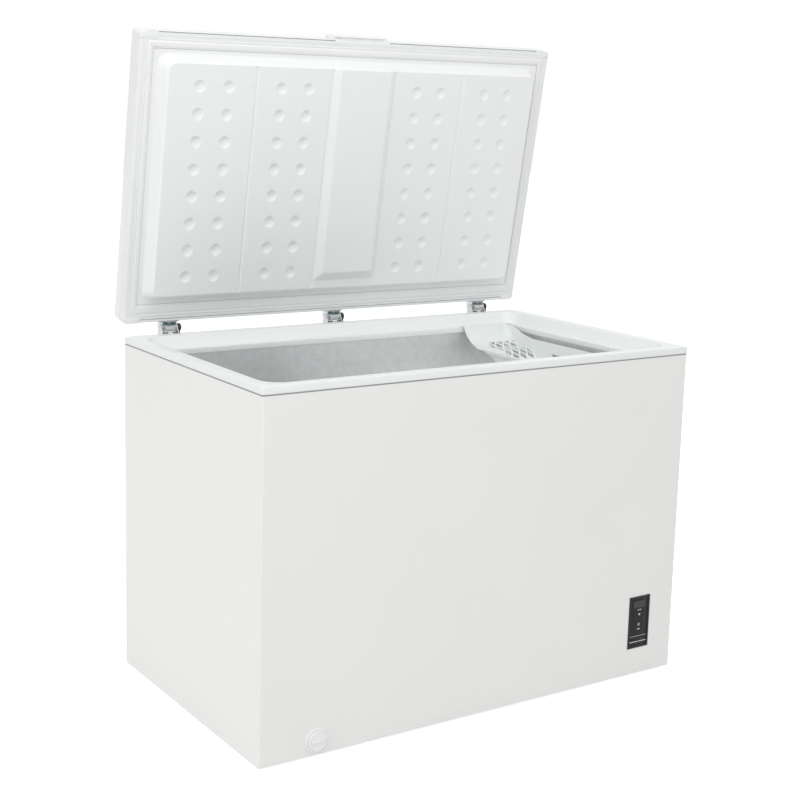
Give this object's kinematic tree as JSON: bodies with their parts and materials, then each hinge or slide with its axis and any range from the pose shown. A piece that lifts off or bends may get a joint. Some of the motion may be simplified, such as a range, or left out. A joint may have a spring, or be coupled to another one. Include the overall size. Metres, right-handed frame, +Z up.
{
  "type": "chest freezer",
  "caption": "Chest freezer with a spring-hinged top lid, stepped aluminium well, hanging storage basket, front drain and small control panel.",
  "frame": {"origin": "on the floor under the middle of the whole, with the lid open", "axes": "+X to the right seen from the front, +Y to the back, +Z up"},
  "size_m": [1.127, 0.7396, 1.4888],
  "materials": {
    "cabinet_paint": "gloss",
    "lid_paint": "gloss",
    "galvanised_steel": "satin",
    "insulation_foam": "matte",
    "embossed_aluminium": "satin",
    "rim_plastic": "satin",
    "lid_inner_plastic": "satin",
    "seal_rubber": "satin",
    "handle_plastic": "satin",
    "drain_plastic": "satin",
    "spout_plastic": "satin",
    "basket_plastic": "satin",
    "hinge_steel": "satin",
    "hinge_housing_paint": "satin",
    "hinge_black_plastic": "satin",
    "slider_plastic": "satin",
    "cam_steel": "satin",
    "spring_steel": "satin",
    "screw_steel": "satin",
    "black_plastic": "satin",
    "panel_overlay": "gloss",
    "key_plastic": "satin",
    "housing_plastic": "matte",
    "circuit_board": "satin",
    "black_enamel": "satin",
    "mount_rubber": "matte",
    "hose_rubber": "matte",
    "copper_tube": "satin",
    "coil_aluminium": "satin",
    "coil_steel": "satin",
    "foot_plastic": "matte"
  },
  "bodies": {
    "cabinet": {"base_pan": "galvanised_steel", "cabinet_foam": "insulation_foam", "cabinet_wrap": "cabinet_paint", "cable_inlet": "black_plastic", "compressor": "black_enamel", "compressor_bolts": "screw_steel", "compressor_mounts": "mount_rubber", "compressor_tray": "galvanised_steel", "condenser_coil": "coil_steel", "control_board": "circuit_board", "control_fascia": "black_plastic", "control_housing": "housing_plastic", "control_overlay": "panel_overlay", "cover_screws": "screw_steel", "discharge_pipe": "copper_tube", "drain_fitting": "drain_plastic", "drain_hose": "hose_rubber", "drain_outlet": "drain_plastic", "evaporator_coil": "coil_aluminium", "filter_drier": "copper_tube", "hinge_caps": "hinge_black_plastic", "hinge_housing_centre": "hinge_housing_paint", "hinge_housing_left": "hinge_housing_paint", "hinge_housing_right": "hinge_housing_paint", "hinge_pins": "cam_steel", "hinge_screws": "screw_steel", "hinge_springs": "spring_steel", "inner_liner": "embossed_aluminium", "levelling_feet": "foot_plastic", "rear_cover": "galvanised_steel", "rear_panel": "cabinet_paint", "relay_cover": "black_plastic", "side_grille": "black_plastic", "suction_pipe": "copper_tube", "top_frame": "rim_plastic"},
    "lid": {"hinge_bracket_centre": "hinge_steel", "hinge_bracket_left": "hinge_steel", "hinge_bracket_right": "hinge_steel", "hinge_bushes": "slider_plastic", "hinge_cams": "cam_steel", "hinge_rivets": "hinge_steel", "lid_corner_caps": "rim_plastic", "lid_foam": "insulation_foam", "lid_frame": "rim_plastic", "lid_gasket": "seal_rubber", "lid_handle": "handle_plastic", "lid_hinge_screws": "screw_steel", "lid_liner": "lid_inner_plastic", "lid_plugs": "black_plastic", "lid_skin": "lid_paint"},
    "hinge_plungers": {"hinge_plunger_centre": "slider_plastic", "hinge_plunger_left": "slider_plastic", "hinge_plunger_right": "slider_plastic"},
    "basket": {"basket": "basket_plastic"},
    "drain_spout_body": {"drain_spout": "spout_plastic"},
    "drain_knob_body": {"drain_knob": "drain_plastic"},
    "drain_plug_body": {"drain_plug": "mount_rubber"},
    "set_key_body": {"set_key": "key_plastic"},
    "mode_key_body": {"mode_key": "key_plastic"}
  },
  "joints": [
    {"name": "lid_hinge", "type": "hinge", "parent": "cabinet", "child": "lid", "pos_m": [0, 0.32427, 0.8006], "axis": [-1, 0, 0], "range_deg": [-80.3, 0], "stiffness_Nm_per_rad": 18, "springref_deg": 17.19},
    {"name": "plunger_slide", "type": "slide", "parent": "cabinet", "child": "hinge_plungers", "axis": [0, 0, 1], "range_m": [-0.0105, 0], "deforming": ["hinge_springs"]},
    {"name": "basket_slide", "type": "slide", "parent": "cabinet", "child": "basket", "axis": [1, 0, 0], "range_m": [-0.84, 0]},
    {"name": "spout_slide", "type": "slide", "parent": "cabinet", "child": "drain_spout_body", "axis": [0, -1, 0], "range_m": [0, 0.025]},
    {"name": "knob_turn", "type": "hinge", "parent": "drain_spout_body", "child": "drain_knob_body", "pos_m": [-0.4295, -0.36433, 0.038], "axis": [0, -1, 0], "range_deg": [0, 180]},
    {"name": "plug_lift", "type": "slide", "parent": "cabinet", "child": "drain_plug_body", "axis": [0, 0, 1], "range_m": [0, 0.02]},
    {"name": "set_key_press", "type": "slide", "parent": "cabinet", "child": "set_key_body", "axis": [0, 1, 0], "range_m": [0, 0.0006], "stiffness_N_per_m": 800, "springref_m": -0.0005},
    {"name": "mode_key_press", "type": "slide", "parent": "cabinet", "child": "mode_key_body", "axis": [0, 1, 0], "range_m": [0, 0.0006], "stiffness_N_per_m": 800, "springref_m": -0.0005}
  ],
  "couplings": [
    {"joint": "plunger_slide", "follows": "lid_hinge", "m_per_rad": 0.007}
  ]
}
